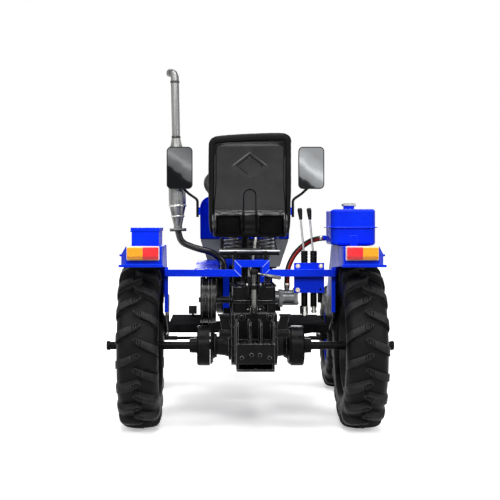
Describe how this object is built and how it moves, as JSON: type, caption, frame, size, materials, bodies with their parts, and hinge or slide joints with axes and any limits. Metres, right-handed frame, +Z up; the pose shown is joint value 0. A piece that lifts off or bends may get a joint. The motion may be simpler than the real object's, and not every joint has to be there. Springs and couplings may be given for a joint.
{
  "type": "compact tractor",
  "caption": "Compact belt-driven farm tractor: open driver's seat, stack exhaust, fenders, drawbar box, linked front steering, opening hood.",
  "frame": {"origin": "on the ground below the middle of the whole tractor's bounding box", "axes": "+Y points forward, +X to the driver's right, +Z up"},
  "size_m": [1.296, 2.15, 1.7355],
  "materials": {
    "paint_blue": "gloss",
    "chassis_black": "satin",
    "deck_black": "satin",
    "casting_grey": "painted cast",
    "machined_steel": "machined",
    "belt_rubber": "matte",
    "engine_grey": "painted cast",
    "radiator_black": "matte",
    "pipe_black": "satin",
    "muffler_steel": "aluminised",
    "pump_alloy": "cast",
    "valve_black": "painted",
    "lever_steel": "zinc plated",
    "cap_chrome": "chrome plated",
    "hose_rubber": "matte",
    "lamp_white": "gloss",
    "lens_red": "clear",
    "lens_amber": "clear",
    "frame_black": "satin",
    "spring_steel": "satin",
    "shell_black": "matte",
    "upholstery_black": "grained",
    "dash_grey": "satin",
    "mirror_black": "matte",
    "mirror_glass": "polished",
    "grille_black": "matte",
    "lamp_glass": "clear",
    "pedal_black": "satin",
    "column_black": "satin",
    "wheel_black": "soft",
    "steering_steel": "satin",
    "tyre_rubber": "treaded",
    "rim_grey": "satin",
    "hub_grey": "painted cast",
    "rim_blue": "gloss"
  },
  "bodies": {
    "frame": {"frame_rails": "chassis_black", "footboards": "deck_black", "gearbox_case": "casting_grey", "axle_housings": "casting_grey", "hitch_box": "casting_grey", "hitch_adjuster": "machined_steel", "belt_pulleys": "casting_grey", "drive_belts": "belt_rubber", "belt_guard": "paint_blue", "engine_block": "engine_grey", "radiator": "radiator_black", "exhaust_pipe": "pipe_black", "muffler": "muffler_steel", "hydraulic_pump": "pump_alloy", "control_valve": "valve_black", "hand_levers": "lever_steel", "hydraulic_tank": "paint_blue", "tank_cap": "cap_chrome", "suction_hose": "hose_rubber", "fender_right": "paint_blue", "fender_left": "paint_blue", "lamp_bases": "lamp_white", "lamp_lenses_red": "lens_red", "lamp_lenses_amber": "lens_amber", "toolbox": "paint_blue", "tube_frames": "paint_blue", "seat_frame": "frame_black", "seat_springs": "spring_steel", "seat_shell": "shell_black", "seat_cushion": "upholstery_black", "dash_cowl": "paint_blue", "dash_panel": "paint_blue", "firewall": "dash_grey", "mirror_housings": "mirror_black", "mirror_glasses": "mirror_glass", "nose": "paint_blue", "front_grille": "grille_black", "headlamps": "lamp_glass", "front_bumper": "chassis_black", "pedals": "pedal_black", "steering_column": "column_black", "front_axle": "chassis_black"},
    "hood": {"hood": "paint_blue"},
    "toolbox_lid": {"toolbox_lid": "paint_blue"},
    "steering_wheel": {"steering_wheel": "wheel_black"},
    "drop_arm": {"drop_arm": "steering_steel"},
    "drag_link": {"drag_link": "steering_steel"},
    "tie_rod": {"tie_rod": "steering_steel"},
    "knuckle_left": {"knuckle_left": "chassis_black"},
    "knuckle_right": {"knuckle_right": "chassis_black"},
    "front_left": {"front_tyre_left": "tyre_rubber", "front_wheel_left": "rim_blue"},
    "front_right": {"front_tyre_right": "tyre_rubber", "front_wheel_right": "rim_blue"},
    "rear_left": {"rear_tyre_left": "tyre_rubber", "rear_wheel_left": "rim_grey", "rear_shaft_left": "hub_grey"},
    "rear_right": {"rear_tyre_right": "tyre_rubber", "rear_wheel_right": "rim_grey", "rear_shaft_right": "hub_grey"}
  },
  "joints": [
    {"name": "knuckle_left_steer", "type": "hinge", "parent": "frame", "child": "knuckle_left", "pos_m": [-0.44, 0.645, 0.29], "axis": [0, 0, 1], "range_deg": [-35, 35]},
    {"name": "knuckle_right_steer", "type": "hinge", "parent": "frame", "child": "knuckle_right", "pos_m": [0.44, 0.645, 0.29], "axis": [0, 0, 1], "range_deg": [-35, 35]},
    {"name": "tie_rod_swing", "type": "hinge", "parent": "knuckle_left", "child": "tie_rod", "pos_m": [-0.44, 0.525, 0.288], "axis": [0, 0, 1], "range_deg": [-35, 35]},
    {"name": "drop_arm_turn", "type": "hinge", "parent": "frame", "child": "drop_arm", "pos_m": [0, 0.18, 0.33], "axis": [0, 0, 1], "range_deg": [-35, 35]},
    {"name": "drag_link_swing", "type": "hinge", "parent": "drop_arm", "child": "drag_link", "pos_m": [0, 0.095, 0.309], "axis": [0, 0, 1], "range_deg": [-35, 35]},
    {"name": "steering_wheel_turn", "type": "hinge", "parent": "frame", "child": "steering_wheel", "pos_m": [0, -0.055, 1.126], "axis": [0, -0.507, 0.8619], "range_deg": [-420, 420]},
    {"name": "front_left_spin", "type": "hinge", "parent": "knuckle_left", "child": "front_left", "pos_m": [-0.525, 0.645, 0.29], "axis": [1, 0, 0], "continuous": true},
    {"name": "front_right_spin", "type": "hinge", "parent": "knuckle_right", "child": "front_right", "pos_m": [0.525, 0.645, 0.29], "axis": [1, 0, 0], "continuous": true},
    {"name": "rear_left_spin", "type": "hinge", "parent": "frame", "child": "rear_left", "pos_m": [-0.492, -0.675, 0.37], "axis": [1, 0, 0], "continuous": true},
    {"name": "rear_right_spin", "type": "hinge", "parent": "frame", "child": "rear_right", "pos_m": [0.492, -0.675, 0.37], "axis": [1, 0, 0], "continuous": true},
    {"name": "hood_hinge", "type": "hinge", "parent": "frame", "child": "hood", "pos_m": [0, 0.2495, 1.05], "axis": [1, 0, 0], "range_deg": [0, 55]},
    {"name": "toolbox_lid_hinge", "type": "hinge", "parent": "frame", "child": "toolbox_lid", "pos_m": [-0.534, -0.6, 0.886], "axis": [0, -1, 0], "range_deg": [0, 100]}
  ],
  "couplings": [
    {"joint": "knuckle_right_steer", "follows": "knuckle_left_steer", "ratio": 1},
    {"joint": "tie_rod_swing", "follows": "knuckle_left_steer", "ratio": -1},
    {"joint": "drop_arm_turn", "follows": "knuckle_left_steer", "ratio": 1},
    {"joint": "drag_link_swing", "follows": "knuckle_left_steer", "ratio": -1},
    {"joint": "steering_wheel_turn", "follows": "knuckle_left_steer", "ratio": 12}
  ]
}
